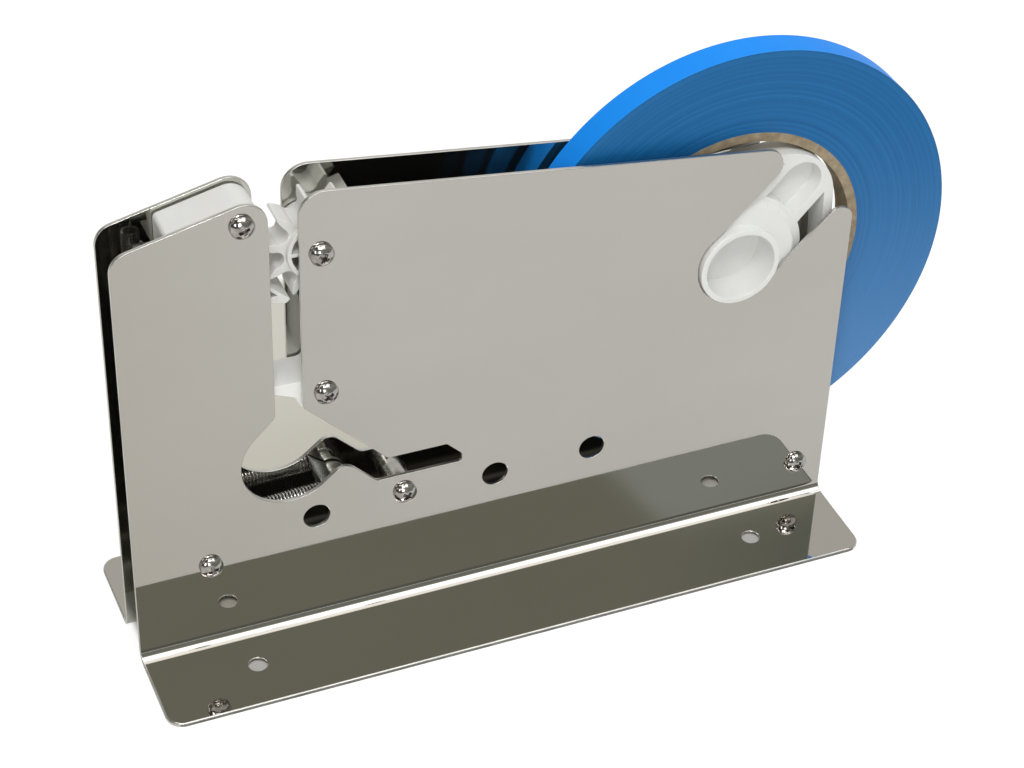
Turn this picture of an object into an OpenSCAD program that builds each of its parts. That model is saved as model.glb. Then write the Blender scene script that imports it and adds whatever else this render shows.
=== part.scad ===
// Bag neck sealer: two bent steel side plates with a taping mechanism between them.
// X runs along the plates, Y across them, Z up. The origin is at the middle of the
// four flange holes, on the plane that the flanges stand on.

/* [Side plates] */
// Length of each side plate
plate_len = 220; // [200:1:240]
// Thickness of the sheet
sheet = 1.2; // [1:0.1:1.5]
// Clear space between the two plates
gap = 13; // [12.8:0.1:14]
// Width of each foot flange, from the bend to its edge
flange_w = 30; // [24:1:40]
// Inside radius of the bend
bend_r = 3; // [1.5:0.1:3.5]
// Height of the top edge at the left end
left_top = 140.5; // [139:0.5:142]
// Height that the long top edge would have at the left end
long_top = 155.9; // [154:0.1:157]
// Radius of the corners of the flanges
flange_corner = 5; // [2:1:8]

/* [Neck slot] */
// Left edge of the vertical slot
slot_left = -67; // [-68:0.1:-66]
// Right edge of the vertical slot
slot_right = -58.8; // [-60:0.1:-58]
// Radius of the round opening under the slot
opening_r = 14.4; // [14:0.1:15]
// Lower edge of the side slot
side_low = 46.5; // [46:0.1:47]
// Upper edge of the side slot
side_high = 54; // [53.5:0.1:55]
// Right end of the side slot
side_end = -11.3; // [-14:0.1:-8]

/* [Flange holes] */
// Distance between the holes along the plates
hole_dx = 158.6; // [120:0.2:180]
// Distance between the holes across the plates
hole_dy = 44; // [40:1:50]
// Radius of the flange holes
hole_r = 2.75; // [2:0.05:3]

/* [Tape] */
// Outer radius of the tape roll
roll_r = 68.2; // [45:0.1:70]
// Width of the tape
tape_w = 9; // [6:0.5:9]
// Radius of the bore of the cardboard core
core_bore = 38.1; // [38:0.1:38.5]
// Outer radius of the cardboard core
core_r = 41; // [40:0.5:43]

/* [Wheel and levers] */
// Tip radius of the star wheel
star_r = 15.4; // [13:0.1:15.4]
// Number of arms of the star wheel
star_arms = 10; // [10:1:10]
// Width of the star wheel's arms
star_w = 9; // [7:0.5:9.5]
// Width of the levers
lever_w = 11.8; // [10:0.2:12]
// Running clearance of the levers and wheels on their spindles
run = 0.05; // [0.03:0.01:0.09]

/* [Hidden] */
$fn = 64;

// steps in each rounded corner of an outline
corner_steps = 8;
in_y = gap/2;
out_y = in_y + sheet;
half_len = plate_len/2;
bend_out = bend_r + sheet;

// centres of the screws, in X and Z
pawl_at = [-74.2, 142.9];
star_at = [-52.6, 129.2];
gate_at = [-52.1, 82.7];
screws_at = [pawl_at, star_at, gate_at, [-28.9, 40.1], [-87.6, 29.8], [100.7, 14.1]];
spacers_at = [screws_at[3], screws_at[4], screws_at[5]];
spindle_r = 4;
thread_r = 2;
thread_gap = 0.05;
screw_hole = 2.2;
head_r = 3.45;
head_h = 2.8;
head_dome = 4.2;
screw_in = 4.5;
recess_l = 4.2;
recess_w = 0.9;
recess_d = 1.7;

// three plain holes in the front plate
plain_at = [[-55.7, 38.8], [-0.7, 38.6], [30.2, 39.8]];
plain_r = 4;

// lines of the plate's outline
left_slope = 0.244;
long_slope = -0.122;
opening_at = [-63, 61.2];
flank = 40;
crest_sum = 9.2;
throat_sum = 20;
seat_at = [73.7, 95.5];
seat_r = 12.8;

// the hub, its boss and its lobed rim; it rests on the lower right side of the slots
hub_at = [73.84, 95.36];
tube_r = 12.5;
tube_bore = 10.8;
tube_out = 9.1;
boss_r = 17.5;
boss_big = 21;
boss_y = 6.1;
boss_edge = 3.8;
lobe_turn = 48;
lobe_r = 17.25;
lobe_d = 20.3;
rim_y = 4.3;
rim_wall = 3;
pocket_r = 6.5;
pocket_out = 29.4;
pocket_in = 17;
floor_y0 = 1.2;
floor_y1 = 2.6;
arm_half = 9.5;
roll_at = [74.14, 95];
core_y0 = -2.4;
core_y1 = 6;

// the sprung catch at the mouth of the side slot
catch_at = [-40, 27];
roller_at = [-47, 41.5];
roller_r = 3.3;
pin_r = 2;
blade_edge = [-53.3, 49.8];
blade_turn = -38;
blade_t = 0.5;
blade_l = 6.2;
cheek_t = 1;

// the springs: wire and coil radius, and the pins that hold them
wire_r = 0.3;
coil_r = 2.3;
eye_r = 1.9;
eye_gap = 0.6;
anchor_r = 1.2;
roller_eye = roller_r + wire_r + 0.15;
pawl_pin_z = 137.7;
pawl_pin_r = 0.9;
pawl_eye = [-98.9, pawl_pin_z + pawl_pin_r + wire_r + 0.05 - eye_r];
pawl_anchor = [-98.9, 98.8];
gate_eye = [-44.5, 95];
gate_anchor = [-21.6, 95];
catch_anchor = [-90, 39.6];
eye_hole = 1.1;
tab_half = 1;

knife_seat = 104.4;
knife_t = 0.6;
knife_x0 = -54.2;
knife_x1 = -46.6;
tooth = 1;
knife_screw_x = -49.3;
knife_screw_y = 3;

function xy(p) = [p[0], p[1]];
function unit(v) = v/norm(v);
function top_at(x) = left_top + left_slope*(x + 110);
function long_at(x) = long_top + long_slope*(x + 110);
function polar(c, r, a) = c + r*[cos(a), sin(a)];
function arc(c, r, a0, a1, n) = [for (i = [0:n]) polar(c, r, a0 + (a1 - a0)*i/n)];
function turn_of(d) = d > 180 ? d - 360 : d < -180 ? d + 360 : d;

// one corner b between a and c, rounded to radius r
function corner(a, b, c, r) = r == 0 ? [b] :
  let(
    u = unit(a - b), w = unit(c - b),
    half = acos(u*w)/2,
    p = b + u*r/tan(half), q = b + w*r/tan(half),
    m = b + unit(u + w)*r/sin(half),
    a0 = atan2(p[1] - m[1], p[0] - m[0]),
    a1 = atan2(q[1] - m[1], q[0] - m[0]),
    sweep = turn_of(a1 - a0)
  )
  arc(m, r, a0, a0 + sweep, corner_steps);

// an outline whose points are [x, z, corner radius]
function rounded(path) = let(n = len(path))
  [for (i = [0:n - 1])
    each corner(xy(path[(i + n - 1)%n]), xy(path[i]), xy(path[(i + 1)%n]), path[i][2])];

// a flat shape in X and Z, made solid between two values of Y
module slab(y0, y1) {
  translate([0, y1, 0]) rotate([90, 0, 0]) linear_extrude(y1 - y0) children();
}

// a round bar along Y
module bar(at, r, y0, y1) {
  translate([at[0], y1, at[1]]) rotate([90, 0, 0]) cylinder(r = r, h = y1 - y0);
}

// the plate's outline above the bend
flank_from = polar(opening_at, opening_r, flank - 90);
flank_len = (crest_sum - flank_from[0] - flank_from[1])/(cos(flank) + sin(flank));
crest = polar(flank_from, flank_len, flank);
flare_z = slot_left + opening_at[1] - opening_at[0] + opening_r*sqrt(2);
seat_line = seat_at[0] - seat_at[1];
horn_x = (long_top + long_slope*110 + seat_line - seat_r*sqrt(2))/(1 - long_slope);
ear_z = half_len - seat_line - seat_r*sqrt(2);
outline = concat(
  [[-half_len, bend_out, 0],
   [-half_len, top_at(-half_len), 6],
   [slot_left, top_at(slot_left), 6.7],
   [slot_left, flare_z, 3]],
  [for (p = arc(opening_at, opening_r, 135, 270 + flank, 32)) [p[0], p[1], 0]],
  [[crest[0], crest[1], 4],
   [crest_sum - side_low, side_low, 3],
   [side_end, side_low, 0.8],
   [side_end, side_high - 4.7, 0.8],
   [side_end - 4.7, side_high, 0.8],
   [throat_sum - side_high, side_high, 1.5],
   [slot_right, throat_sum - slot_right, 2],
   [slot_right, long_at(slot_right), 7],
   [horn_x, long_at(horn_x), 5.5],
   [seat_at[0] - seat_r*sqrt(2), seat_at[1], seat_r],
   [seat_at[0], seat_at[1] - seat_r*sqrt(2), seat_r],
   [half_len, ear_z, 4.2],
   [half_len, bend_out, 0]]);

// a side plate with its bent foot, on the side of negative Y
module side_plate(open_holes) {
  slab(-out_y, -in_y) difference() {
    polygon(rounded(outline));
    for (p = screws_at) translate(p) circle(screw_hole);
    if (open_holes) for (p = plain_at) translate(p) circle(plain_r);
  }
  translate([-half_len, -in_y - bend_out, bend_out]) rotate([90, 0, 90])
    linear_extrude(plate_len) difference() {
      intersection() {
        circle(bend_out);
        translate([0, -bend_out]) square(bend_out);
      }
      circle(bend_r);
    }
  linear_extrude(sheet) difference() {
    polygon(rounded([
      [-half_len, -in_y - bend_out, 0],
      [-half_len, -out_y - flange_w, flange_corner],
      [half_len, -out_y - flange_w, flange_corner],
      [half_len, -in_y - bend_out, 0]]));
    for (s = [-1, 1]) translate([s*hole_dx/2, -hole_dy/2]) circle(hole_r);
  }
}

// a pan-head screw with a cross recess, pointing to positive Y
module pan_screw(at) {
  translate([at[0], -out_y, at[1]]) rotate([90, 0, 0]) difference() {
    union() {
      rotate_extrude() intersection() {
        translate([0, head_h - head_dome]) circle(head_dome);
        square([head_r, head_h]);
      }
      translate([0, 0, -screw_in - sheet]) cylinder(r = thread_r, h = screw_in + sheet);
    }
    for (a = [35, 125]) translate([0, 0, head_h - recess_d/2]) rotate([0, 0, a])
      cube([recess_l, recess_w, recess_d], center = true);
  }
}

// a tapped distance tube between the plates
module distance_tube(at) {
  difference() {
    bar(at, spindle_r, -in_y, in_y);
    bar(at, thread_r + thread_gap, -in_y - 1, in_y + 1);
  }
}

module front_plate() {
  color("silver") side_plate(true);
}
module back_plate() {
  color("silver") mirror([0, 1, 0]) side_plate(false);
}
module front_screws() {
  color("gainsboro") for (p = screws_at) pan_screw(p);
}
module back_screws() {
  color("gainsboro") mirror([0, 1, 0]) for (p = screws_at) pan_screw(p);
}
module plate_spacers() {
  color("darkgray") for (p = spacers_at) distance_tube(p);
}
module pawl_pivot() {
  color("darkgray") distance_tube(pawl_at);
}
module star_spindle() {
  color("darkgray") distance_tube(star_at);
}
module gate_pivot() {
  color("darkgray") distance_tube(gate_at);
}
module catch_pivot() {
  color("darkgray") bar(catch_at, pin_r, -in_y, in_y);
}
module anchor_pins() {
  color("darkgray") for (p = [pawl_anchor, gate_anchor, catch_anchor]) bar(p, anchor_r, -in_y, in_y);
}

// the star wheel: pointed arms round a ring that five spokes join to the hub
module star_wheel() {
  valley_r = 2.5;
  valley_at = 12;
  ring_out = 9;
  ring_in = 7.8;
  hub_out = 5.4;
  spoke = 1.1;
  side_y = in_y - 0.3;
  color("whitesmoke") difference() {
    union() {
      slab(-star_w/2, star_w/2) translate(star_at) difference() {
        circle(star_r, $fn = 90);
        for (i = [0:star_arms - 1]) rotate(7.3 + i*360/star_arms) {
          translate([valley_at, 0]) circle(valley_r, $fn = 40);
          polygon([[valley_at, -valley_r], [17, -5.1], [17, 6.8], [12.7, 3], [valley_at, valley_r]]);
        }
      }
      bar(star_at, ring_out, -side_y, side_y);
    }
    bar(star_at, spindle_r + run, -in_y - 1, in_y + 1);
    slab(-in_y - 1, in_y + 1) translate(star_at) difference() {
      circle(ring_in);
      circle(hub_out);
      for (i = [0:4]) rotate(180 + i*72) translate([0, -spoke/2]) square([ring_in + 1, spoke]);
    }
  }
}

// the pawl: a block on the left pivot, with a tip that reaches under the star wheel
module pawl_lever() {
  under = 1.25;
  block_x = -94.3;
  inner_x = -68.2;
  color("white") difference() {
    slab(-lever_w/2, lever_w/2) polygon(rounded([
      [block_x, top_at(block_x) - under, 1.5],
      [inner_x, top_at(inner_x) - under, 5.7],
      [inner_x, 126, 1],
      [-68.7, 122.3, 1],
      [-60.9, 115.4, 0.5],
      [-62.4, 114.2, 0.6],
      [-66.5, 115.2, 1],
      [-73, 114.4, 2],
      [-79, 126, 3],
      [block_x, 131, 2]]));
    bar(pawl_at, spindle_r + run, -in_y - 1, in_y + 1);
    pawl_bar(block_x + 3.4, pawl_pin_r + run);
    slab(-in_y, -2.6) polygon([[-69.5, 121.2], [-66.6, 119.2], [-64.6, 117.2], [-66.4, 116.9], [-69.5, 117]]);
  }
}
module pawl_pin() {
  color("darkgray") pawl_bar(-91, pawl_pin_r);
}

// a round bar along X at the pawl's left end, up to x1
module pawl_bar(x1, r) {
  translate([-101.5, 0, pawl_pin_z]) rotate([0, 90, 0]) cylinder(r = r, h = x1 + 101.5);
}

// the gate: a flat finger across the slot, and an arm that carries the knife
module gate_lever() {
  finger_x = -68.4;
  color("white") difference() {
    union() {
      slab(-lever_w/2, lever_w/2) polygon(rounded([
        [finger_x, 86.9, 0.8],
        [-54.6, 86.9, 2],
        [-54, knife_seat, 0.4],
        [knife_x1 - 0.2, knife_seat, 0.8],
        [-45.6, 84, 2],
        [-46.5, 77.6, 4],
        [-54, 75.6, 5],
        [-59.4, 78.6, 2],
        [-60.4, 81.8, 3],
        [finger_x, 84.9, 0.8]]));
      slab(-tab_half, tab_half) polygon(rounded([
        [-47, 98.5, 0],
        [-42.2, 96.6, 1.5],
        [-42.2, 93.4, 1.5],
        [-47, 91, 0]]));
    }
    bar(gate_at, spindle_r + run, -in_y - 1, in_y + 1);
    bar(gate_eye, eye_hole, -3, 3);
    for (s = [-1, 1]) translate([knife_screw_x, s*knife_screw_y, knife_seat - 4.2])
      cylinder(r = 1.05, h = 5);
  }
}

// the serrated tape knife on top of the gate's arm, with its edge along Y
module tape_knife() {
  wide = star_w/2 - 0.2;
  teeth = 10;
  color("lightsteelblue") difference() {
    translate([0, 0, knife_seat]) linear_extrude(knife_t) polygon(concat(
      [[knife_x1, -wide], [knife_x1, wide]],
      [for (i = [0:2*teeth]) [knife_x0 + (i%2)*tooth, wide - i*wide/teeth]]));
    for (s = [-1, 1]) translate([knife_screw_x, s*knife_screw_y, knife_seat - 1])
      cylinder(r = 1.05, h = 3);
  }
}
module knife_screws() {
  color("gainsboro") for (s = [-1, 1]) translate([knife_screw_x, s*knife_screw_y, knife_seat]) {
    translate([0, 0, -4]) cylinder(r = 1, h = 4 + knife_t);
    difference() {
      translate([0, 0, knife_t]) cylinder(r = 1.9, h = 1.2);
      translate([0, 0, knife_t + 1]) cube([2.6, 0.5, 0.8], center = true);
    }
  }
}

// the catch: two cheeks on a pivot pin, joined by the blade's seat
module catch_lever() {
  cheek_out = lever_w/2;
  color("lightgray") difference() {
    union() {
      for (y0 = [-cheek_out, cheek_out - cheek_t]) slab(y0, y0 + cheek_t) {
        translate(catch_at) circle(4.2);
        translate(roller_at) circle(4.6);
        polygon([[-44, 28.3], [-51, 39.2], [-52.6, 46.6], [-51.4, 47.6], [-48.4, 45.8],
          [-42.8, 43.4], [-36.2, 28.8]]);
      }
      translate([blade_edge[0], 0, blade_edge[1]]) rotate([0, -blade_turn, 0])
        translate([1.6, -cheek_out + 0.5, -blade_t - 1])
          cube([3.8, lever_w - 1, 1]);
    }
    bar(catch_at, pin_r + run, -in_y, in_y);
    bar(roller_at, roller_r, -in_y, in_y);
  }
}
module catch_roller() {
  color("gainsboro") bar(roller_at, roller_r, -in_y + 0.3, in_y - 0.3);
}

// the catch's blade, with fine teeth along its upper edge
module catch_blade() {
  wide = lever_w/2;
  teeth = 14;
  color("lightsteelblue") translate([blade_edge[0], 0, blade_edge[1]]) rotate([0, -blade_turn, 0])
    translate([0, 0, -blade_t]) linear_extrude(blade_t) polygon(concat(
      [[blade_l, -wide], [blade_l, wide]],
      [for (i = [0:2*teeth]) [(i%2)*0.5, wide - i*wide/teeth]]));
}

// wound springs: a coil between two eyes, swept as one tube
ring_steps = 8;
wire_sides = 6;

function hermite(p, u, q, w, n) = [for (i = [1:n - 1]) let(t = i/n)
  p*(2*t*t*t - 3*t*t + 1) + u*(t*t*t - 2*t*t + t) + q*(3*t*t - 2*t*t*t) + w*(t*t*t - t*t)];

// the eye that follows a coil's end: s points away from the coil, t along the wire
function eye(start, centre, s, t, r) = concat(
  hermite(start, 3*t, centre + r*(cos(150)*s + sin(150)*t), 3*(0.5*s + 0.866*t), 4),
  [for (i = [0:10]) let(a = 150 - i*29) centre + r*(cos(a)*s + sin(a)*t)]);

function reversed(v) = [for (i = [len(v) - 1:-1:0]) v[i]];

// a spring from eye centre a to eye centre b; n0 is the normal of the first eye
function spring_path(a, b, ra, rb, n0, turns) =
  let(
    s = unit(b - a),
    side = unit(cross(s, n0)),
    c0 = a + s*(ra + eye_gap),
    c1 = b - s*(rb + eye_gap),
    total = turns*360,
    steps = ceil(turns*ring_steps),
    coil = [for (i = [0:steps]) let(f = i/steps)
      c0 + (c1 - c0)*f + coil_r*(cos(f*total)*n0 + sin(f*total)*side)],
    t1 = cos(total)*side - sin(total)*n0
  )
  concat(reversed(eye(coil[0], a, -s, -side, ra)), coil, eye(coil[steps], b, s, t1, rb));

function tangents(p) = let(n = len(p) - 1)
  [for (i = [0:n]) unit(p[min(i + 1, n)] - p[max(i - 1, 0)])];

// side vectors carried along the path without twist
function carried(t) = let(first = unit(cross(t[0], [0.3, 0.5, 0.8])))
  [for (i = 0, v = first; i < len(t);
    i = i + 1, v = i < len(t) ? unit(v - (v*t[i])*t[i]) : v) v];

module swept(path, r, sides) {
  t = tangents(path);
  u = carried(t);
  n = len(path);
  points = [for (i = [0:n - 1]) let(w = cross(t[i], u[i]))
    for (k = [0:sides - 1]) path[i] + r*(cos(k*360/sides)*u[i] + sin(k*360/sides)*w)];
  walls = [for (i = [0:n - 2], k = [0:sides - 1])
    let(a = i*sides + k, b = i*sides + (k + 1)%sides)
    each [[a, a + sides, b + sides], [a, b + sides, b]]];
  caps = [for (k = [1:sides - 2])
    each [[0, k, k + 1], [(n - 1)*sides, (n - 1)*sides + k + 1, (n - 1)*sides + k]]];
  polyhedron(points = points, faces = concat(walls, caps));
}

function lift(p) = [p[0], 0, p[1]];
pawl_path = spring_path(lift(pawl_anchor), lift(pawl_eye), eye_r, eye_r, [0, 1, 0], 30.25);
gate_path = spring_path(lift(gate_anchor), lift(gate_eye) + [eye_r, 0, 0], eye_r, eye_r, [0, 1, 0], 14.25);
catch_path = spring_path(lift(catch_anchor), lift(roller_at), eye_r, roller_eye, [0, 1, 0], 32);

// least clear gap between points of a wire that are over half a curl apart
function least_gap(p) = min([for (i = [0:len(p) - 6], j = [i + 5:len(p) - 1])
  norm(p[i] - p[j])]) - 2*wire_r;

module pawl_spring() {
  color("slategray") swept(pawl_path, wire_r, wire_sides);
}
module gate_spring() {
  color("slategray") swept(gate_path, wire_r, wire_sides);
}
module catch_spring() {
  color("slategray") swept(catch_path, wire_r, wire_sides);
}
echo(gaps = [for (p = [pawl_path, gate_path, catch_path]) least_gap(p)]);

// the hub: a tube that lies in the plates' slots, a boss, and a four-cornered rim
module hub() {
  rim_low = lobe_d*cos(45) + lobe_r - rim_wall;
  color("whitesmoke") difference() {
    union() {
      slab(-rim_y, rim_y) translate(hub_at) rotate(lobe_turn) difference() {
        union() {
          for (i = [0:3]) rotate(i*90) translate([lobe_d, 0]) circle(lobe_r, $fn = 96);
          circle(lobe_d);
          for (i = [0:3]) rotate(45 + i*90) translate([0, -lobe_d*sin(45)])
            square([lobe_d*cos(45) + lobe_r, 2*lobe_d*sin(45)]);
        }
        for (i = [0:3]) rotate(45 + i*90) difference() {
          polygon([[arm_half*sqrt(2), 0], [rim_low, arm_half*sqrt(2) - rim_low],
            [rim_low, rim_low - arm_half*sqrt(2)]]);
          circle(boss_big + 0.5);
        }
      }
      translate([hub_at[0], 0, hub_at[1]]) rotate([90, 0, 0]) rotate_extrude() polygon([
        [0, -tube_out], [tube_r, -tube_out], [tube_r, -boss_y], [boss_r, -boss_y],
        [boss_big, -boss_edge], [boss_big, boss_edge], [boss_r, boss_y], [tube_r, boss_y],
        [tube_r, tube_out], [0, tube_out]]);
    }
    bar(hub_at, tube_bore, -tube_out - 1, floor_y0);
    bar(hub_at, tube_bore, floor_y1, tube_out + 1);
    difference() {
      union() {
        slab(-rim_y - 1, floor_y0) lobe_pockets();
        slab(floor_y1, rim_y + 1) lobe_pockets();
      }
      bar(hub_at, boss_big, -rim_y - 2, rim_y + 2);
    }
  }
}
module lobe_pockets() {
  translate(hub_at) for (i = [0:3]) rotate(lobe_turn + i*90) {
    translate([pocket_out, 0]) circle(pocket_r);
    translate([pocket_in, -pocket_r]) square([pocket_out - pocket_in, 2*pocket_r]);
  }
}

// the cardboard core and the tape wound on it, slightly dished to the back
module tape_core() {
  color("peru") translate([roll_at[0], 0, roll_at[1]]) rotate([90, 0, 0])
    rotate_extrude($fn = 128) polygon([[core_bore, -core_y1], [core_r, -core_y1],
      [core_r, -core_y0], [core_bore, -core_y0]]);
}
module tape_roll() {
  color("dodgerblue") translate([roll_at[0], 0, roll_at[1]]) rotate([90, 0, 0])
    rotate_extrude($fn = 180) polygon([[core_r, -core_y1], [roll_r, -tape_w/2],
      [roll_r, tape_w/2], [core_r, -core_y0]]);
}

front_plate();
back_plate();
front_screws();
back_screws();
plate_spacers();
pawl_pivot();
star_spindle();
gate_pivot();
catch_pivot();
anchor_pins();
star_wheel();
pawl_lever();
pawl_pin();
pawl_spring();
gate_lever();
gate_spring();
tape_knife();
knife_screws();
catch_lever();
catch_roller();
catch_blade();
catch_spring();
hub();
tape_core();
tape_roll();
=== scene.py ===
import math

import bpy
from mathutils import Euler, Matrix, Vector


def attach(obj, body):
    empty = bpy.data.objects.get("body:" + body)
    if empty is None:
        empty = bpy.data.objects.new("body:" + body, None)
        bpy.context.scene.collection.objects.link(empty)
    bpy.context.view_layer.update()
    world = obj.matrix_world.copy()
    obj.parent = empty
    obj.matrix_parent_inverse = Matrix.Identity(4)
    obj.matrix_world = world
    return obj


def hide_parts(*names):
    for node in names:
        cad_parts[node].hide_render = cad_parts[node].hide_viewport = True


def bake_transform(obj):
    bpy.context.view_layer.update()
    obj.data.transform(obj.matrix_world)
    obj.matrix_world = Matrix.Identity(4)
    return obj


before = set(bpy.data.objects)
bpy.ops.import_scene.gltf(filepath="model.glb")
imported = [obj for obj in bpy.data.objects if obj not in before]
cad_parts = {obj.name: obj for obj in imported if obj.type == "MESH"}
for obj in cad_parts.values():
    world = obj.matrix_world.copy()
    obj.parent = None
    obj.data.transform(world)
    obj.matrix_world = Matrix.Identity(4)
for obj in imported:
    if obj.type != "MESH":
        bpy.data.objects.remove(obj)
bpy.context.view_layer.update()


# Camera: it stands in front of the device and to its left, looks down on it,
# and keeps the whole of the plates, the foot and the tape roll in view.
camera_at = (-0.22812, -0.53815, 0.51646)
camera_turn = (52.379, -1.574, -22.396)
camera_lens = 89.84

camera_data = bpy.data.cameras.new("camera")
camera_data.sensor_width = 36
camera_data.lens = camera_lens
camera_data.clip_start = 0.01
camera = bpy.data.objects.new("camera", camera_data)
camera.location = camera_at
camera.rotation_euler = Euler([math.radians(a) for a in camera_turn])
bpy.context.scene.collection.objects.link(camera)
bpy.context.scene.camera = camera
bpy.context.scene.view_settings.view_transform = "Standard"


# Studio: a pale table top, a bright wall behind the device, a dim room in
# front of it, and soft lamps overhead that draw bright lines along the bends.
table_size = 12
table_z = -0.0001
table_rough = 0.7
table_glow = (0.88, 0.88, 0.875, 1)
table_base = (0.22, 0.22, 0.215, 1)
# painted reflection: seen in the steel or lighting the device, the table takes a darker colour, painted
# darker still to the left, and a weak glow of its own
table_mirrored = (0.56, 0.56, 0.55, 1)
table_mirrored_left_painted_shade = (0.49, 0.475, 0.435, 1)
mirrored_left_x = -0.12
mirrored_right_x = 0.02
glow_mirrored = 0.34
patch_edge = 1.12
# painted shade on the table behind the plates, under the foot and between the plates:
# middle, half size, colour, and how often its oval is squared off
table_painted_shade_patches = [
    ((-0.03, 0.105, 0), (0.036, 0.058, 1), (0.42, 0.40, 0.34, 1), 0),
    ((0, 0, 0), (0.106, 0.0355, 1), (0.22, 0.217, 0.205, 1), 2),
    ((0, 0, 0), (0.103, 0.0074, 1), (0.02, 0.02, 0.02, 1), 2),
]
room_front = (0.39, 0.40, 0.335, 1)
# each further part of the room: its colour, then its edges, each one an axis and
# how far the view leans along it outside the edge and inside
room_parts = [
    ((0.59, 0.65, 0.62, 1), ((1, 0, -1.09), -0.351, -0.343), ((1, 0, 0), 0.52, 0.44),
     ((0, -0.985, -1), 0, 0.012)),
    ((0.28, 0.315, 0.275, 1), ((1, 0, 0), 0.34, 0.43), ((0, -0.985, -1), 0, -0.012)),
    ((0.64, 0.63, 0.59, 1), ((0, 1, 0), -0.35, 0.45)),
    ((0.15, 0.15, 0.14, 1), ((0, 0, 1), 0.75, 0.86)),
    ((0.10, 0.10, 0.09, 1), ((-1, 0, 0), 0.30, 0.55)),
    ((0.24, 0.25, 0.22, 1), ((1, 0, 0), 0.04, 0.10), ((0, -0.80, -1), 0, 0.012)),
    ((2.3, 2.3, 2.27, 1), ((1, 0, 0), 0.06, 0.12), ((1, 0, 0), 0.52, 0.44),
     ((0, 1.08, 1), 0, 0.01), ((0, -1, -0.45), 0, 0.02)),
]
# name, place, turn in degrees, width, depth and watts
lamps = [
    ("overhead_front", (0.53, -0.44, 1.7), (0, 0, 0), 0.85, 0.92, 5),
    ("overhead_back", (0.53, 0.60, 1.7), (0, 0, 0), 0.85, 0.92, 5),
    ("above_camera", (-0.30, -0.70, 1.30), (30, 0, -23), 0.5, 0.4, 8),
    ("window", (-2.0, -1.5, 1.1), (68, 0, -53), 0.45, 0.9, 6),
    ("side_window", (-0.9, -2.4, 1.3), (63, 0, -20), 0.6, 0.7, 8),
]


def only(piece):
    """Leaves this piece alone selected and active."""
    bpy.ops.object.select_all(action="DESELECT")
    piece.select_set(True)
    bpy.context.view_layer.objects.active = piece


def new_material(name):
    """An empty node material: its tree and its surface shader."""
    material = bpy.data.materials.new(name)
    material.use_nodes = True
    tree = material.node_tree
    tree.nodes.clear()
    skin = tree.nodes.new("ShaderNodeBsdfPrincipled")
    out = tree.nodes.new("ShaderNodeOutputMaterial")
    tree.links.new(skin.outputs["BSDF"], out.inputs["Surface"])
    return material, tree, skin


def feed(tree, value, socket):
    """Links another node's output to a socket, or sets the socket to a plain value."""
    if isinstance(value, bpy.types.NodeSocket):
        tree.links.new(value, socket)
    else:
        socket.default_value = value


def smooth_step(tree, value, low, high):
    """Rises from 0 to 1 while the value goes from low to high."""
    step = tree.nodes.new("ShaderNodeMapRange")
    step.interpolation_type = "SMOOTHSTEP"
    step.inputs["From Min"].default_value = low
    step.inputs["From Max"].default_value = high
    tree.links.new(value, step.inputs["Value"])
    return step.outputs["Result"]


def vector_math(tree, operation, first, second, output=0):
    node = tree.nodes.new("ShaderNodeVectorMath")
    node.operation = operation
    feed(tree, first, node.inputs[0])
    feed(tree, second, node.inputs[1])
    return node.outputs[output]


def leaning(tree, vector, axis, low, high):
    """A step from 0 to 1 while the vector's part along an axis goes from low to high."""
    return smooth_step(tree, vector_math(tree, "DOT_PRODUCT", vector, axis, "Value"), low, high)


def mixed(tree, factor, first, second):
    """A colour between two others."""
    mix = tree.nodes.new("ShaderNodeMix")
    mix.data_type = "RGBA"
    feed(tree, first, mix.inputs["A"])
    feed(tree, second, mix.inputs["B"])
    tree.links.new(factor, mix.inputs["Factor"])
    return mix.outputs["Result"]


def object_coords(tree):
    return tree.nodes.new("ShaderNodeTexCoord").outputs["Object"]


bpy.ops.object.select_all(action="DESELECT")
bpy.ops.mesh.primitive_plane_add(size=table_size, location=(0, 0, table_z))
table = bpy.context.object
table.name = "table_top"
table_finish, tree, skin = new_material("pale_table")
skin.inputs["Roughness"].default_value = table_rough
skin.inputs["Specular IOR Level"].default_value = 0
from_camera = tree.nodes.new("ShaderNodeLightPath").outputs["Is Camera Ray"]
spot = object_coords(tree)
# painted shade in the reflections: the table seen in the steel turns darker towards the left
to_right = leaning(tree, spot, (1, 0, 0), mirrored_left_x, mirrored_right_x)
toned = mixed(tree, to_right, table_mirrored_left_painted_shade, table_mirrored)
tree.links.new(mixed(tree, from_camera, toned, table_base), skin.inputs["Base Color"])
# painted glow: the table glows weakly where it is seen in the steel or lights the device
seen = tree.nodes.new("ShaderNodeMapRange")
seen.inputs["To Min"].default_value = glow_mirrored
tree.links.new(from_camera, seen.inputs["Value"])
tree.links.new(seen.outputs["Result"], skin.inputs["Emission Strength"])
glow = table_glow
# painted shade: each patch darkens the table's glow inside its soft-edged oval
for middle, half, colour, squarings in table_painted_shade_patches:
    away = vector_math(tree, "DIVIDE", vector_math(tree, "SUBTRACT", spot, middle), half)
    for _ in range(squarings):
        away = vector_math(tree, "MULTIPLY", away, away)
    outside = smooth_step(tree, vector_math(tree, "LENGTH", away, (0, 0, 0), "Value"), 1, patch_edge)
    glow = mixed(tree, outside, colour, glow)
tree.links.new(glow, skin.inputs["Emission Color"])
table.data.materials.append(table_finish)

for name, at, turn, wide, deep, power in lamps:
    lamp_data = bpy.data.lights.new(name, "AREA")
    lamp_data.shape = "RECTANGLE"
    lamp_data.size = wide
    lamp_data.size_y = deep
    lamp_data.energy = power
    lamp = bpy.data.objects.new(name, lamp_data)
    lamp.location = at
    lamp.rotation_euler = Euler([math.radians(a) for a in turn])
    bpy.context.scene.collection.objects.link(lamp)

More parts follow.
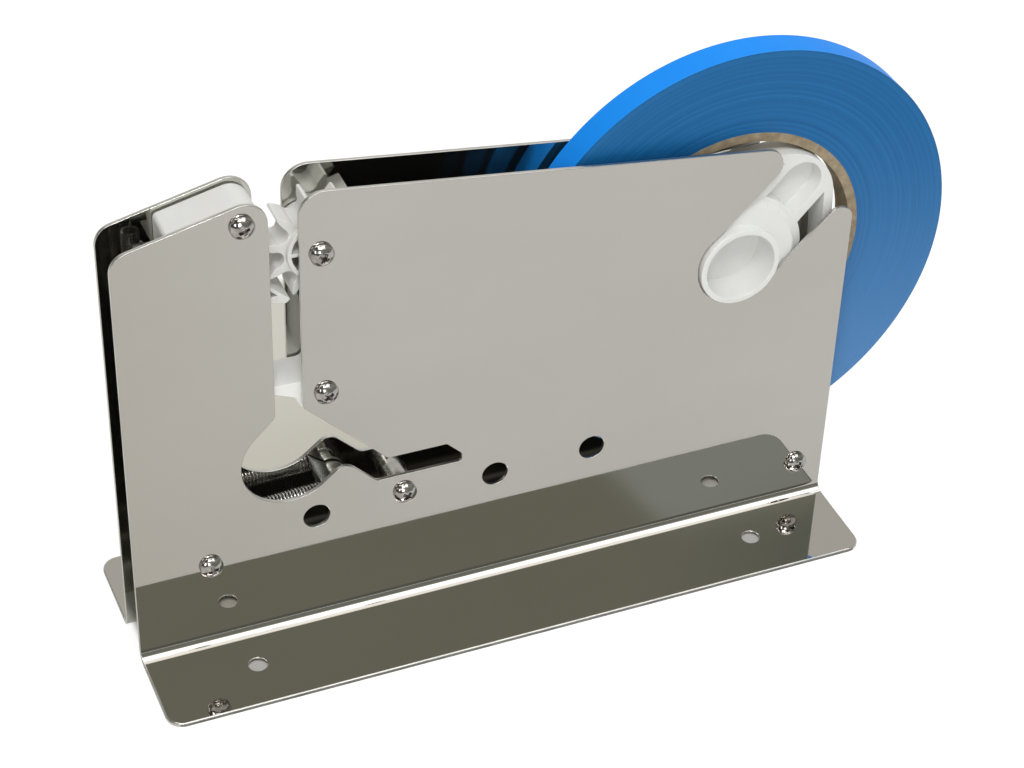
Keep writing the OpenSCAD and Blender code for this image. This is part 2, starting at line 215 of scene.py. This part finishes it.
world = bpy.data.worlds.new("room")
world.use_nodes = True
tree = world.node_tree
tree.nodes.clear()
view = tree.nodes.new("ShaderNodeTexCoord").outputs["Generated"]
walls = room_front
for colour, *edges in room_parts:
    inside = leaning(tree, view, *edges[0])
    for edge in edges[1:]:
        both = tree.nodes.new("ShaderNodeMath")
        both.operation = "MULTIPLY"
        tree.links.new(inside, both.inputs[0])
        tree.links.new(leaning(tree, view, *edge), both.inputs[1])
        inside = both.outputs[0]
    walls = mixed(tree, inside, walls, colour)
glow = tree.nodes.new("ShaderNodeBackground")
out = tree.nodes.new("ShaderNodeOutputWorld")
tree.links.new(walls, glow.inputs["Color"])
tree.links.new(glow.outputs["Background"], out.inputs["Surface"])
bpy.context.scene.world = world


# Side plates: two mirrored sheets of bright stainless steel, cut to outline and
# bent outwards at the foot. The faces are nearly mirrors; the cut edges are
# duller and slightly broken where they were deburred.
sheet_edge = 0.00018
sheet_t = 0.0012
sheet_tint = (0.555, 0.535, 0.505, 1)
sheet_tint_low = (0.535, 0.515, 0.485, 1)
inner_tint = (0.58, 0.575, 0.53, 1)
inner_y = 0.0065
near_plate_y = 0.009
bend_end = 0.0107
bend_top = 0.0045
foot_end = 0.0377
foot_hole_x = 0.0793
foot_hole_y = 0.022
foot_hole_r = 0.00275
clear_of_hole = 0.004
rolled_edge = 0.0005
weld = 2e-6
flat_angle = 0.4
sharp_angle = 50
# the least that a face's normal leans along the axis it looks along, and the most
# that a face of the bend leans along the bend, or a hole's wall leans upwards
looks_along = 0.9
bend_lean = 0.1
wall_lean = 0.3
# how far a face's middle may lie from the surface or edge that it belongs to
bend_slack = 0.0002
foot_slack = 0.0008
front_slack = 0.0007
hole_slack = 0.00015
# the order of a plate's four materials
on_outside, on_cut, on_inside, on_punched_shaded = range(4)


def copy_of(node, name):
    """A node's mesh as a new piece, its loose triangles joined into flat faces."""
    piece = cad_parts[node].copy()
    piece.data = piece.data.copy()
    piece.name = name
    piece.parent = None
    for key in list(piece.keys()):
        del piece[key]
    piece.data.materials.clear()
    bpy.context.scene.collection.objects.link(piece)
    only(piece)
    bpy.ops.mesh.customdata_custom_splitnormals_clear()
    bpy.ops.object.mode_set(mode="EDIT")
    bpy.ops.mesh.select_all(action="SELECT")
    bpy.ops.mesh.remove_doubles(threshold=weld)
    bpy.ops.mesh.dissolve_limited(angle_limit=math.radians(flat_angle))
    bpy.ops.object.mode_set(mode="OBJECT")
    return piece


def apply_all(piece):
    only(piece)
    for modifier in list(piece.modifiers):
        bpy.ops.object.modifier_apply(modifier=modifier.name)


def soften(piece, width, segments=2, angle=35):
    """Rounds a piece's sharp edges and shades its flat faces flat."""
    only(piece)
    bevel = piece.modifiers.new("soft_edges", "BEVEL")
    bevel.width = width
    bevel.segments = segments
    bevel.limit_method = "ANGLE"
    bevel.angle_limit = math.radians(angle)
    bevel.use_clamp_overlap = False
    apply_all(piece)
    bpy.ops.object.shade_smooth_by_angle(angle=math.radians(sharp_angle))
    piece.modifiers.new("flat_faces", "WEIGHTED_NORMAL").keep_sharp = True
    apply_all(piece)


def place(piece, body, slot, finish, *nodes):
    """Gives a finished piece its material and its body, and hides the nodes it stands for."""
    for material in finish:
        piece.data.materials.append(material)
    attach(piece, body)
    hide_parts(*nodes)


def new_group(name, inputs, outputs):
    """A shader node group with its named sockets, and its two end nodes."""
    group = bpy.data.node_groups.new(name, "ShaderNodeTree")
    for label, kind, value in inputs:
        socket = group.interface.new_socket(label, in_out="INPUT", socket_type=kind)
        if value is not None:
            socket.default_value = value
    for label, kind in outputs:
        group.interface.new_socket(label, in_out="OUTPUT", socket_type=kind)
    start = group.nodes.new("NodeGroupInput")
    end = group.nodes.new("NodeGroupOutput")
    return group, start, end


FLOAT = "NodeSocketFloat"
VECTOR = "NodeSocketVector"

# a noise that is drawn out in one direction: brushing, turning lines, fibres
drawn_grain, start, end = new_group(
    "drawn_grain",
    [("Vector", VECTOR, None), ("Stretch", VECTOR, (1, 1, 1)), ("Low", FLOAT, 0), ("High", FLOAT, 1)],
    [("Value", FLOAT)])
stretched = vector_math(drawn_grain, "MULTIPLY", start.outputs["Vector"], start.outputs["Stretch"])
noise = drawn_grain.nodes.new("ShaderNodeTexNoise")
noise.inputs["Scale"].default_value = 1
noise.inputs["Detail"].default_value = 3
spread = drawn_grain.nodes.new("ShaderNodeMapRange")
spread.inputs["From Min"].default_value = 0.3
spread.inputs["From Max"].default_value = 0.7
drawn_grain.links.new(stretched, noise.inputs["Vector"])
drawn_grain.links.new(noise.outputs["Fac"], spread.inputs["Value"])
drawn_grain.links.new(start.outputs["Low"], spread.inputs["To Min"])
drawn_grain.links.new(start.outputs["High"], spread.inputs["To Max"])
drawn_grain.links.new(spread.outputs["Result"], end.inputs["Value"])


def grain(tree, coords, stretch, low, high):
    """Places the drawn grain in a material and returns its value."""
    node = tree.nodes.new("ShaderNodeGroup")
    node.node_tree = drawn_grain
    node.inputs["Stretch"].default_value = stretch
    node.inputs["Low"].default_value = low
    node.inputs["High"].default_value = high
    tree.links.new(coords, node.inputs["Vector"])
    return node.outputs["Value"]


def bump(tree, height, skin, distance):
    node = tree.nodes.new("ShaderNodeBump")
    node.inputs["Distance"].default_value = distance
    node.inputs["Strength"].default_value = 1
    tree.links.new(height, node.inputs["Height"])
    tree.links.new(node.outputs["Normal"], skin.inputs["Normal"])


def steel(name, tint, tint_low, stretch, rough, rough_high, mark, depth, metallic=1):
    """Steel whose lines run along the smallest part of stretch."""
    material, tree, skin = new_material(name)
    coords = object_coords(tree)
    clouds = grain(tree, coords, mark, 0, 1)
    tree.links.new(mixed(tree, clouds, tint, tint_low), skin.inputs["Base Color"])
    lines = grain(tree, coords, stretch, 0, 1)
    tree.links.new(grain(tree, coords, mark, rough, rough_high), skin.inputs["Roughness"])
    bump(tree, lines, skin, depth)
    skin.inputs["Metallic"].default_value = metallic
    return material


sheet_lines = (60, 900, 2600)
sheet_clouds = (14, 14, 30)
sheet_depth = 0.0000004
bright_sheet = steel("bright_sheet", sheet_tint, sheet_tint_low, sheet_lines, 0.022, 0.042,
                     sheet_clouds, sheet_depth)
inner_sheet = steel("inner_sheet", inner_tint, inner_tint, sheet_lines, 0.04, 0.08,
                    sheet_clouds, sheet_depth, 0.995)
cut_edge = steel("cut_edge", (0.76, 0.75, 0.73, 1), (0.60, 0.59, 0.57, 1), (900, 3000, 900), 0.30, 0.42,
                 (80, 80, 80), 0.000004)
# the walls of the foot's holes and the foot's front edge: dark for their rough sheared finish, and painted
# darker still as the shade that falls in the holes and on that edge
sheared_shaded = steel("sheared_shaded_edge", (0.30, 0.295, 0.28, 1), (0.17, 0.165, 0.155, 1), (300, 300, 3000),
                0.30, 0.45, (200, 200, 900), 0.00001)


def from_foot_hole(at):
    """The distance of a point from the axis of the nearest hole in the foot."""
    return math.hypot(abs(at.x) - foot_hole_x, abs(at.y) - foot_hole_y)


def roll_foot_edge(plate):
    """Rolls over the foot's upper edge, as the punch leaves it."""
    slack = 0.00002
    points = [vertex.co for vertex in plate.data.vertices]
    on_edge = [abs(at.z - sheet_t) < slack and abs(at.y) > bend_end - slack
               and from_foot_hole(at) > clear_of_hole for at in points]
    for vertex in plate.data.vertices:
        vertex.select = False
    for face in plate.data.polygons:
        face.select = False
    for edge in plate.data.edges:
        a, b = edge.vertices
        past_bend = max(abs(points[a].y), abs(points[b].y)) > bend_end + 5 * slack
        edge.select = on_edge[a] and on_edge[b] and past_bend
    only(plate)
    bpy.context.tool_settings.mesh_select_mode = (False, True, False)
    bpy.ops.object.mode_set(mode="EDIT")
    bpy.ops.mesh.bevel(offset=rolled_edge, segments=4, affect="EDGES")
    bpy.ops.object.mode_set(mode="OBJECT")


for node in ("front_plate", "back_plate"):
    plate = copy_of(node, node + "_sheet")
    roll_foot_edge(plate)
    soften(plate, sheet_edge)
    place(plate, "frame", "steel_sheet", [bright_sheet, cut_edge, inner_sheet, sheared_shaded], node)
    for face in plate.data.polygons:
        lean_x, lean_y, lean_z = (abs(part) for part in face.normal)
        y, z = abs(face.center.y), face.center.z
        upright = lean_y > looks_along and y < near_plate_y
        foot = lean_z > looks_along and z < sheet_t + foot_slack and y > bend_end - bend_slack
        bend = lean_x < bend_lean and z < bend_top and inner_y < y < bend_end + bend_slack
        foot_front = lean_y > looks_along and y > foot_end - front_slack
        hole_wall = lean_z < wall_lean and from_foot_hole(face.center) < foot_hole_r + hole_slack
        if upright and y < inner_y + sheet_t / 4:
            face.material_index = on_inside
        elif upright or foot or bend:
            face.material_index = on_outside
        else:
            # painted shade: the holes' walls and the foot's front edge take the dark sheared steel
            face.material_index = on_punched_shaded if foot_front or hole_wall else on_cut


# Pan-head screws: plated steel, six to a side, with a cross recess. They clamp
# the plates to the tapped tubes between them. The recesses stand as they were
# turned home, each at its own angle.
screw_places = [(-0.0742, 0.1429), (-0.0526, 0.1292), (-0.0521, 0.0827),
                (-0.0289, 0.0401), (-0.0876, 0.0298), (0.1007, 0.0141)]
recess_turns = {-1: [20, 62, 35, 48, 15, 70], 1: [10, 55, 80, 25, 40, 65]}
plate_face = 0.0077
head_rings = [(0.00338, 0), (0.00344, 0.0001), (0.00344, 0.0008), (0.00338, 0.00106), (0.0032, 0.0013),
              (0.0029, 0.00162), (0.0025, 0.00196), (0.0020, 0.00228), (0.0014, 0.00255), (0.0007, 0.00273)]
screw_sides = 48
recess_wing = (0.0042, 0.00105, 0.0032)
recess_z = 0.0023
recess_taper = 0.42
recess_narrowing = 0.8
shank_r = 0.00195
thread_root = 0.00165
thread_pitch = 0.0007
shank_l = 0.0057


def press_rings(rings):
    """Extrudes the active outline through rings of radius and height, and closes it."""
    bpy.ops.object.mode_set(mode="EDIT")
    bpy.ops.mesh.select_all(action="SELECT")
    at_r, at_h = rings[0]
    for r, h in rings[1:]:
        bpy.ops.mesh.extrude_region_move(TRANSFORM_OT_translate={"value": (0, 0, h - at_h)})
        bpy.ops.transform.resize(value=(r / at_r, r / at_r, 1), center_override=(0, 0, 0))
        at_r, at_h = r, h
    bpy.ops.mesh.edge_face_add()
    bpy.ops.object.mode_set(mode="OBJECT")


def cut_away(piece, tool):
    """Cuts the tool out of the piece and removes the tool."""
    cut = piece.modifiers.new("cut", "BOOLEAN")
    cut.operation = "DIFFERENCE"
    cut.solver = "EXACT"
    cut.object = tool
    apply_all(piece)
    bpy.data.objects.remove(tool)


def ring_outline(r, sides):
    bpy.ops.object.select_all(action="DESELECT")
    bpy.ops.mesh.primitive_circle_add(vertices=sides, radius=r, fill_type="NOTHING", location=(0, 0, 0))
    return bpy.context.object


thread_rings = [(shank_r, 0)]
while thread_rings[-1][1] > -shank_l + thread_pitch:
    depth = thread_rings[-1][1]
    thread_rings += [(thread_root, depth - thread_pitch / 2), (shank_r, depth - thread_pitch)]
thread_rings.append((thread_root * 0.8, -shank_l))

head = ring_outline(head_rings[0][0], screw_sides)
press_rings(head_rings)
shank = ring_outline(shank_r, screw_sides)
press_rings(thread_rings)
only(head)
shank.select_set(True)
bpy.ops.object.join()
bpy.ops.object.mode_set(mode="EDIT")
bpy.ops.mesh.select_all(action="SELECT")
bpy.ops.mesh.fill_holes(sides=0)
bpy.ops.mesh.normals_make_consistent(inside=False)
bpy.ops.object.mode_set(mode="OBJECT")

for turn, taper_x, taper_y in ((0, recess_taper, recess_narrowing), (90, recess_narrowing, recess_taper)):
    bpy.ops.object.select_all(action="DESELECT")
    bpy.ops.mesh.primitive_cube_add(size=1, location=(0, 0, recess_z))
    wing = bpy.context.object
    wing.scale = recess_wing
    wing.rotation_euler[2] = math.radians(turn)
    bpy.ops.object.transform_apply(location=True, rotation=True, scale=True)
    for corner in wing.data.vertices:
        if corner.co.z < recess_z:
            corner.co.x *= taper_x
            corner.co.y *= taper_y
    cut_away(head, wing)
soften(head, 0.00008, 2, 38)
screw_pattern = head

plated = steel("bright_plating", (0.61, 0.58, 0.565, 1), (0.34, 0.325, 0.32, 1), (900, 900, 900),
               0.06, 0.13, (600, 600, 600), 0.00003)

for node, side in (("front_screws", -1), ("back_screws", 1)):
    heads = []
    for at, turn in zip(screw_places, recess_turns[side]):
        screw = screw_pattern.copy()
        screw.data = screw_pattern.data.copy()
        bpy.context.scene.collection.objects.link(screw)
        upright = Matrix.Rotation(math.radians(-90 * side), 4, "X")
        spun = Matrix.Rotation(math.radians(turn), 4, "Z")
        moved = Matrix.Translation((at[0], side * plate_face, at[1]))
        screw.data.transform(moved @ upright @ spun)
        heads.append(screw)
    only(heads[0])
    for screw in heads[1:]:
        screw.select_set(True)
    bpy.ops.object.join()
    heads[0].name = node + "_set"
    place(heads[0], "frame", "chrome_screws", [plated], node)
bpy.data.objects.remove(screw_pattern)


# Tubes and pins: round steel bar turned to size, tapped for the screws at both
# ends. They hold the plates apart and are the spindles of the wheel and levers;
# the thin pins are pressed into the plates and hold the springs' fixed ends.
turned = steel("turned_bar", (0.66, 0.65, 0.63, 1), (0.56, 0.55, 0.53, 1), (120, 5200, 120), 0.16, 0.30,
               (160, 400, 160), 0.000003)
for node, chamfer in (("plate_spacers", 0.0003), ("pawl_pivot", 0.0003), ("star_spindle", 0.0003),
                      ("gate_pivot", 0.0003), ("catch_pivot", 0.0002), ("anchor_pins", 0.00015)):
    bar = copy_of(node, node + "_turned")
    soften(bar, chamfer, 1)
    place(bar, "frame", "turned_steel", [turned], node)


# Star wheel: one moulding of white acetal with ten arms that grip the tape. Its
# edges are softly rounded from the mould and it spins on its steel spindle.


def acetal(name, tint, shade):
    """White acetal with a faint moulded grain, let in a little by the light."""
    material, tree, skin = new_material(name)
    coords = object_coords(tree)
    clouds = grain(tree, coords, (45, 45, 45), 0, 1)
    tree.links.new(mixed(tree, clouds, tint, shade), skin.inputs["Base Color"])
    tree.links.new(grain(tree, coords, (220, 220, 220), 0.34, 0.46), skin.inputs["Roughness"])
    bump(tree, grain(tree, coords, (1500, 1500, 1500), 0, 1), skin, 0.000004)
    skin.inputs["IOR"].default_value = 1.48
    skin.inputs["Subsurface Weight"].default_value = 0.12
    skin.inputs["Subsurface Radius"].default_value = (0.0012, 0.0011, 0.001)
    skin.inputs["Subsurface Scale"].default_value = 1
    return material


moulded = acetal("white_acetal", (0.77, 0.77, 0.755, 1), (0.73, 0.725, 0.705, 1))

wheel = copy_of("star_wheel", "star_wheel_moulding")
soften(wheel, 0.0002)
place(wheel, "star", "white_plastic", [moulded], "star_wheel")


# Pawl: a moulded acetal block on the left pivot. Its tip presses the tape
# together under the star wheel, and a steel pin in its end takes the spring's hook.
pawl = copy_of("pawl_lever", "pawl_moulding")
soften(pawl, 0.00015)
place(pawl, "pawl", "white_plastic", [moulded], "pawl_lever")
# painted shade: the pawl's pin is painted near black, as it lies in the shade of the left post
painted_shade_steel = steel("painted_shade_steel_pin", (0.09, 0.09, 0.085, 1), (0.06, 0.06, 0.055, 1), (300, 300, 300),
                  0.3, 0.42, (200, 200, 200), 0.000003)
pin = copy_of("pawl_pin", "pawl_pin_turned")
soften(pin, 0.00015, 1)
place(pin, "pawl", "turned_steel", [painted_shade_steel], "pawl_pin")


# Gate: a moulded acetal lever on its own pivot, with a flat finger across the
# slot and an arm that carries the tape knife.
gate = copy_of("gate_lever", "gate_moulding")
soften(gate, 0.00012, 2, 50)
# painted light: a lighter copy of the white acetal, to make up for the shade in the slot where the gate
# lies
gate_acetal_painted_light = acetal("gate_acetal_painted_light", (0.95, 0.95, 0.935, 1), (0.92, 0.915, 0.90, 1))
place(gate, "gate", "white_plastic", [gate_acetal_painted_light], "gate_lever")


# Springs: hard drawn steel wire wound close, with a hook turned up at each end.
# One end of each hangs on a fixed pin and the other in a lever or on a roller,
# so each one is stretched between the pin and the lever or roller.
wire_r = 0.0003
coil_r = 0.0023
eye_r = 0.0019
roller_r = 0.00375
eye_gap = 0.0006
coil_steps = 18
wire_roundness = 2
eye_steps = 16
eye_lead = 0.003
lead_steps = 6
eye_starts = 150
eye_sweep = 290


def eye_points(start, centre, s, t, r):
    """The hook after a coil's end: s points away from the coil, t along the wire."""
    first = math.radians(eye_starts)
    q = centre + r * (math.cos(first) * s + math.sin(first) * t)
    u = eye_lead * t
    w = eye_lead * (0.5 * s + 0.866 * t)
    points = []
    for i in range(1, lead_steps):
        f = i / lead_steps
        points.append(start * (2 * f**3 - 3 * f**2 + 1) + u * (f**3 - 2 * f**2 + f)
                      + q * (3 * f**2 - 2 * f**3) + w * (f**3 - f**2))
    for i in range(eye_steps + 1):
        a = math.radians(eye_starts - i * eye_sweep / eye_steps)
        points.append(centre + r * (math.cos(a) * s + math.sin(a) * t))
    return points


def wound_spring(name, a, b, ra, rb, turns):
    """A coil of wire between two eyes with centres a and b, as a mesh."""
    a, b = Vector(a), Vector(b)
    up = Vector((0, 1, 0))
    s = (b - a).normalized()
    side = s.cross(up).normalized()
    c0 = a + s * (ra + eye_gap)
    c1 = b - s * (rb + eye_gap)
    steps = round(turns * coil_steps)
    coil = []
    last = math.radians(turns * 360)
    for i in range(steps + 1):
        angle = last * i / steps
        from_axis = coil_r * (math.cos(angle) * up + math.sin(angle) * side)
        coil.append(c0 + (c1 - c0) * i / steps + from_axis)
    t1 = math.cos(last) * side - math.sin(last) * up
    path = eye_points(coil[0], a, -s, -side, ra)[::-1] + coil + eye_points(coil[-1], b, s, t1, rb)
    curve = bpy.data.curves.new(name, "CURVE")
    curve.dimensions = "3D"
    curve.bevel_depth = wire_r
    curve.bevel_resolution = wire_roundness
    curve.use_fill_caps = True
    line = curve.splines.new("POLY")
    line.points.add(len(path) - 1)
    for point, p in zip(line.points, path):
        point.co = (*p, 1)
    spring = bpy.data.objects.new(name, curve)
    bpy.context.scene.collection.objects.link(spring)
    only(spring)
    bpy.ops.object.convert(target="MESH")
    spring = bpy.context.object
    bpy.ops.object.shade_smooth()
    return spring


spring_wire = steel("spring_wire", (0.85, 0.85, 0.84, 1), (0.70, 0.70, 0.69, 1), (700, 700, 700),
                    0.14, 0.24, (300, 300, 300), 0.000002)
# painted shade: a darker copy of the spring wire for the pawl's spring, which lies in the shade of the left
# post
spring_wire_painted_shade = steel("spring_wire_painted_shade", (0.16, 0.16, 0.15, 1), (0.09, 0.09, 0.085, 1), (700, 700, 700),
                   0.08, 0.16, (300, 300, 300), 0.000002)
# node, body, fixed eye, moving eye, their radii, turns of the coil, and wire
springs = [
    ("pawl_spring", "pawl", (-0.0989, 0, 0.0988), (-0.0989, 0, 0.13705), eye_r, eye_r, 33.25, spring_wire_painted_shade),
    ("gate_spring", "gate", (-0.0216, 0, 0.095), (-0.0426, 0, 0.095), eye_r, eye_r, 16.25, spring_wire),
    ("catch_spring", "catch", (-0.090, 0, 0.0396), (-0.047, 0, 0.0415), eye_r, roller_r, 36, spring_wire),
]
for node, body, a, b, ra, rb, turns, wire in springs:
    spring = wound_spring(node + "_wire", a, b, ra, rb, turns)
    spring.data.materials.append(wire)
    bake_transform(spring)
    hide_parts(node)


# Tape knife and catch blade: hardened strip with ground, toothed edges. The
# knife is held on the gate's arm by two small slotted screws.
ground = steel("ground_blade", (0.62, 0.63, 0.64, 1), (0.52, 0.53, 0.54, 1), (2400, 200, 200),
               0.12, 0.22, (120, 120, 120), 0.000003)
knife = copy_of("tape_knife", "tape_knife_strip")
soften(knife, 0.00005, 1)
place(knife, "gate", "blade_steel", [ground], "tape_knife")
small_screws = copy_of("knife_screws", "knife_screw_pair")
soften(small_screws, 0.0001)
place(small_screws, "gate", "chrome_screws", [plated], "knife_screws")


# Catch: two pressed steel cheeks on a pin, with a hard roller across them and a
# toothed blade on top, which holds the taped neck from slipping back.
cheeks = copy_of("catch_lever", "catch_cheeks")
soften(cheeks, 0.00008, 2, 50)
place(cheeks, "catch", "steel_sheet", [cut_edge], "catch_lever")
roller = copy_of("catch_roller", "catch_roller_bar")
soften(roller, 0.00025)
place(roller, "catch", "turned_steel", [turned], "catch_roller")
blade = copy_of("catch_blade", "catch_blade_strip")
soften(blade, 0.00005, 1)
place(blade, "catch", "blade_steel", [ground], "catch_blade")


# Hub: one white moulding that lies in the sloping slots of both plates. Its
# tube is open at the front, and its four-cornered rim fills the tape's core.
hub = copy_of("hub", "hub_moulding")
soften(hub, 0.00015, 2, 45)
# painted light: a lighter copy of the white acetal, set to the light that falls on the hub
hub_acetal_painted_light = acetal("hub_acetal_painted_light", (0.84, 0.84, 0.83, 1), (0.80, 0.80, 0.79, 1))
place(hub, "roll", "white_plastic", [hub_acetal_painted_light], "hub")


# Core: a ring of brown board, wound from plies of paper and cut off square, so
# its ends show the plies.
core_brown = (0.42, 0.34, 0.23, 1)
core_dark = (0.27, 0.205, 0.13, 1)
roll_centre = (0.07414, 0, 0.095)
board, tree, skin = new_material("wound_board")
coords = object_coords(tree)
plies = grain(tree, coords, (400, 900, 400), 0, 1)
tree.links.new(mixed(tree, plies, core_brown, core_dark), skin.inputs["Base Color"])
skin.inputs["Roughness"].default_value = 0.85
bump(tree, grain(tree, coords, (1600, 500, 1600), 0, 1), skin, 0.00002)
core = copy_of("tape_core", "tape_core_board")
soften(core, 0.00015)
place(core, "roll", "core_board", [board], "tape_core")


# Tape: thin blue film wound on the core. The roll's sides show its turns as
# fine rings, some standing a little proud of their neighbours.
roll_r = 0.0682
core_r = 0.041
tape_half = 0.0045
inner_front = -0.0024
inner_back = 0.006
turn_rings = 110
roll_sides = 256
roll_weld = 1e-7
roll_angle = 30
ring_relief = 0.00006
ring_shift = 7
side_lean = 0.4
tape_blue = (0.005, 0.275, 0.97, 1)
tape_blue_light = (0.008, 0.30, 0.98, 1)
tape_edge_blue = (0.002, 0.085, 0.26, 1)
tape_edge_light = (0.018, 0.185, 0.48, 1)
# painted sheen: the lighter blue that the roll's sides turn towards the foot
tape_edge_painted_sheen = (0.10, 0.26, 0.55, 1)


def ring_step(i):
    """How far the turn of this number stands out, as a share of the most."""
    return math.sin(i * 12.9898) * math.cos(i * 4.1414) * 0.5 + 0.5


def roll_section():
    """The section beside the axis, as radius and Y: out along the front, in along the back."""
    points = []
    for side in (-1, 1):
        ring = []
        for i in range(turn_rings + 1):
            f = i / turn_rings
            r = core_r + (roll_r - core_r) * f
            inner = inner_front if side < 0 else inner_back
            y = inner + (side * tape_half - inner) * f
            ring.append((r, y - side * ring_relief * ring_step(i + ring_shift * side)))
        points += ring if side < 0 else ring[::-1]
    return points


bpy.ops.object.select_all(action="DESELECT")
section = roll_section()
bpy.ops.mesh.primitive_circle_add(vertices=len(section), radius=roll_r)
roll = bpy.context.object
roll.name = "tape_roll_turns"
for vertex, (r, y) in zip(roll.data.vertices, section):
    vertex.co = (r + roll_centre[0], y, roll_centre[2])
only(roll)
bpy.ops.object.mode_set(mode="EDIT")
bpy.ops.mesh.select_all(action="SELECT")
bpy.ops.mesh.spin(steps=roll_sides, angle=2 * math.pi, center=roll_centre, axis=(0, 1, 0))
bpy.ops.mesh.select_all(action="SELECT")
bpy.ops.mesh.remove_doubles(threshold=roll_weld)
bpy.ops.mesh.normals_make_consistent(inside=False)
bpy.ops.object.mode_set(mode="OBJECT")
bpy.ops.object.shade_smooth_by_angle(angle=math.radians(roll_angle))

film, tree, skin = new_material("blue_film")
coords = object_coords(tree)
skin.inputs["Roughness"].default_value = 0.42
clouds = grain(tree, coords, (60, 60, 60), 0, 1)
tree.links.new(mixed(tree, clouds, tape_blue, tape_blue_light), skin.inputs["Base Color"])
skin.inputs["Specular IOR Level"].default_value = 0.15
bump(tree, grain(tree, coords, (300, 1200, 300), 0, 1), skin, 0.000005)

film_edge, tree, skin = new_material("blue_film_edge")
coords = object_coords(tree)
from_axis = vector_math(tree, "MULTIPLY", vector_math(tree, "SUBTRACT", coords, roll_centre), (1, 0, 1))
along = tree.nodes.new("ShaderNodeCombineXYZ")
tree.links.new(vector_math(tree, "LENGTH", from_axis, (0, 0, 0), "Value"), along.inputs["X"])
rings = grain(tree, along.outputs[0], (4200, 1, 1), 0, 1)
wide_rings = grain(tree, along.outputs[0], (650, 1, 1), 0.0, 0.55)
both = tree.nodes.new("ShaderNodeMath")
both.operation = "MULTIPLY_ADD"
both.inputs[1].default_value = 0.5
tree.links.new(rings, both.inputs[0])
tree.links.new(wide_rings, both.inputs[2])
ringed = mixed(tree, both.outputs[0], tape_edge_blue, tape_edge_light)
# painted sheen: the roll's sides turn lighter towards the foot
painted_sheen_toward_foot = leaning(tree, coords, (0, 0, -1), -0.14, -0.02)
tree.links.new(mixed(tree, painted_sheen_toward_foot, ringed, tape_edge_painted_sheen), skin.inputs["Base Color"])
bump(tree, rings, skin, 0.00002)
skin.inputs["Roughness"].default_value = 0.5
skin.inputs["Specular IOR Level"].default_value = 0.2
place(roll, "roll", "blue_tape", [film, film_edge], "tape_roll")
for face in roll.data.polygons:
    face.material_index = 1 if abs(face.normal.y) > side_lean else 0
